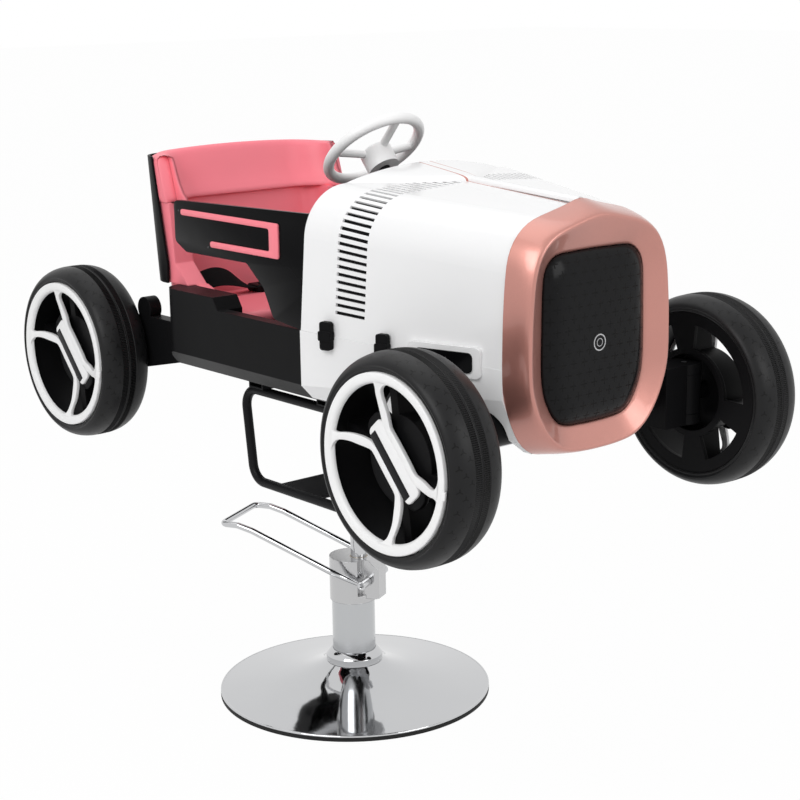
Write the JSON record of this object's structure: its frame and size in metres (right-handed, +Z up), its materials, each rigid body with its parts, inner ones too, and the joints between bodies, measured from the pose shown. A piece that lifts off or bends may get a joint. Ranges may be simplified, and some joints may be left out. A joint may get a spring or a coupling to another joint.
{
  "type": "kids car barber chair",
  "caption": "Child's salon chair shaped as an open vintage racing car with louvred hood, bucket seat and steerable wheels, on a chromed hydraulic pump base with foot pedal.",
  "frame": {"origin": "on the floor, on the axis of the lifting ram that the car swivels on", "axes": "+Z up; -Y towards the car's nose; +X towards the driver's left"},
  "size_m": [0.73, 1.292, 1.0271],
  "materials": {
    "polished_chrome": "mirror-bright chrome plate",
    "cast_ballast": "rough painted casting",
    "base_rubber": "matt black rubber",
    "machined_steel": "fine machined steel",
    "bush_bronze": "sintered bearing bronze",
    "black_powder_coat": "fine satin black powder coat",
    "black_plastic": "satin moulded black plastic",
    "gloss_black_plastic": "glossy moulded black plastic",
    "white_gloss_plastic": "high-gloss painted white plastic",
    "white_satin_plastic": "satin white moulded plastic",
    "rose_gold_plastic": "metallic rose gold paint",
    "pink_plastic": "satin coral pink moulded plastic",
    "belt_webbing": "woven black nylon webbing",
    "tyre_rubber": "satin black moulded tyre"
  },
  "bodies": {
    "base": {"base_plate": "polished_chrome", "base_ballast": "cast_ballast", "base_rubber_ring": "base_rubber", "base_collar": "polished_chrome", "pump_cylinder": "polished_chrome", "pump_head": "machined_steel", "lever_housing": "machined_steel", "pressure_cylinder": "machined_steel", "ram_bush": "bush_bronze"},
    "plunger": {"pump_plunger": "machined_steel"},
    "pedal": {"foot_pedal": "polished_chrome", "pedal_cam": "machined_steel"},
    "ram": {"ram_rod": "polished_chrome", "ram_piston": "machined_steel"},
    "car": {"swivel_socket": "black_powder_coat", "cradle_plate": "black_powder_coat", "cradle_loop_left": "black_powder_coat", "cradle_loop_right": "black_powder_coat", "cross_rails": "black_powder_coat", "chassis_tub": "black_plastic", "hood_cover": "white_gloss_plastic", "hood_liner": "black_plastic", "lower_body_sides": "white_gloss_plastic", "hood_plates": "gloss_black_plastic", "hood_latches": "black_plastic", "grille_ring": "rose_gold_plastic", "grille_panel": "gloss_black_plastic", "dash_panel": "black_plastic", "column_bracket": "black_plastic", "seat_bucket": "pink_plastic", "headrest_band": "pink_plastic", "rear_shell": "black_plastic", "lap_belts": "belt_webbing", "belt_buckle": "black_plastic", "side_panel_left": "gloss_black_plastic", "side_panel_right": "gloss_black_plastic", "side_rails": "pink_plastic", "front_axle": "black_plastic", "kingpins": "machined_steel", "rear_axle_housing": "black_plastic", "rear_axle_shaft": "machined_steel"},
    "steering": {"steering_wheel": "white_satin_plastic", "steering_column": "black_powder_coat"},
    "horn": {"horn_button": "white_satin_plastic"},
    "knuckle_left": {"knuckle_left": "black_plastic"},
    "knuckle_right": {"knuckle_right": "black_plastic"},
    "tie_rod": {"tie_rod": "machined_steel"},
    "wheel_front_left": {"tyre_front_left": "tyre_rubber", "wheel_rim_front_left": "black_plastic", "wheel_cover_front_left": "white_satin_plastic"},
    "wheel_front_right": {"tyre_front_right": "tyre_rubber", "wheel_rim_front_right": "black_plastic", "wheel_cover_front_right": "white_satin_plastic"},
    "wheel_rear_left": {"tyre_rear_left": "tyre_rubber", "wheel_rim_rear_left": "black_plastic", "wheel_cover_rear_left": "white_satin_plastic"},
    "wheel_rear_right": {"tyre_rear_right": "tyre_rubber", "wheel_rim_rear_right": "black_plastic", "wheel_cover_rear_right": "white_satin_plastic"}
  },
  "joints": [
    {"name": "ram_lift", "type": "slide", "parent": "base", "child": "ram", "axis": [0, 0, 1], "range_m": [-0.06, 0.07]},
    {"name": "seat_swivel", "type": "hinge", "parent": "ram", "child": "car", "pos_m": [0, 0, 0.36], "axis": [0, 0, 1], "continuous": true},
    {"name": "pedal_press", "type": "hinge", "parent": "base", "child": "pedal", "pos_m": [0.01213, -0.02412, 0.211], "axis": [-0.8934, -0.4493, 0], "range_deg": [0, 24], "stiffness_Nm_per_rad": 3, "springref_deg": -34.38},
    {"name": "plunger_stroke", "type": "slide", "parent": "base", "child": "plunger", "axis": [0, 0, -1], "range_m": [0, 0.0062]},
    {"name": "steering_turn", "type": "hinge", "parent": "car", "child": "steering", "pos_m": [0, -0.063, 0.965], "axis": [0, 0.6481, 0.7615], "range_deg": [-38, 38]},
    {"name": "horn_press", "type": "slide", "parent": "steering", "child": "horn", "axis": [0, -0.6481, -0.7615], "range_m": [0, 0.003], "stiffness_N_per_m": 400, "springref_m": -0.002},
    {"name": "knuckle_left_turn", "type": "hinge", "parent": "car", "child": "knuckle_left", "pos_m": [0.262, -0.512, 0.585], "axis": [0, 0, 1], "range_deg": [-20, 20]},
    {"name": "knuckle_right_turn", "type": "hinge", "parent": "car", "child": "knuckle_right", "pos_m": [-0.262, -0.512, 0.585], "axis": [0, 0, 1], "range_deg": [-20, 20]},
    {"name": "tie_rod_shift", "type": "slide", "parent": "car", "child": "tie_rod", "axis": [-1, 0, 0], "range_m": [-0.018, 0.018]},
    {"name": "wheel_front_left_spin", "type": "hinge", "parent": "knuckle_left", "child": "wheel_front_left", "pos_m": [0.317, -0.512, 0.585], "axis": [1, 0, 0], "continuous": true},
    {"name": "wheel_front_right_spin", "type": "hinge", "parent": "knuckle_right", "child": "wheel_front_right", "pos_m": [-0.317, -0.512, 0.585], "axis": [1, 0, 0], "continuous": true},
    {"name": "wheel_rear_left_spin", "type": "hinge", "parent": "car", "child": "wheel_rear_left", "pos_m": [0.255, 0.469, 0.585], "axis": [1, 0, 0], "continuous": true},
    {"name": "wheel_rear_right_spin", "type": "hinge", "parent": "car", "child": "wheel_rear_right", "pos_m": [-0.255, 0.469, 0.585], "axis": [1, 0, 0], "continuous": true}
  ],
  "couplings": [
    {"joint": "plunger_stroke", "follows": "pedal_press", "m_per_rad": 0.0145},
    {"joint": "knuckle_left_turn", "follows": "steering_turn", "ratio": 0.52632},
    {"joint": "knuckle_right_turn", "follows": "steering_turn", "ratio": 0.52632},
    {"joint": "tie_rod_shift", "follows": "steering_turn", "m_per_rad": 0.02632}
  ]
}
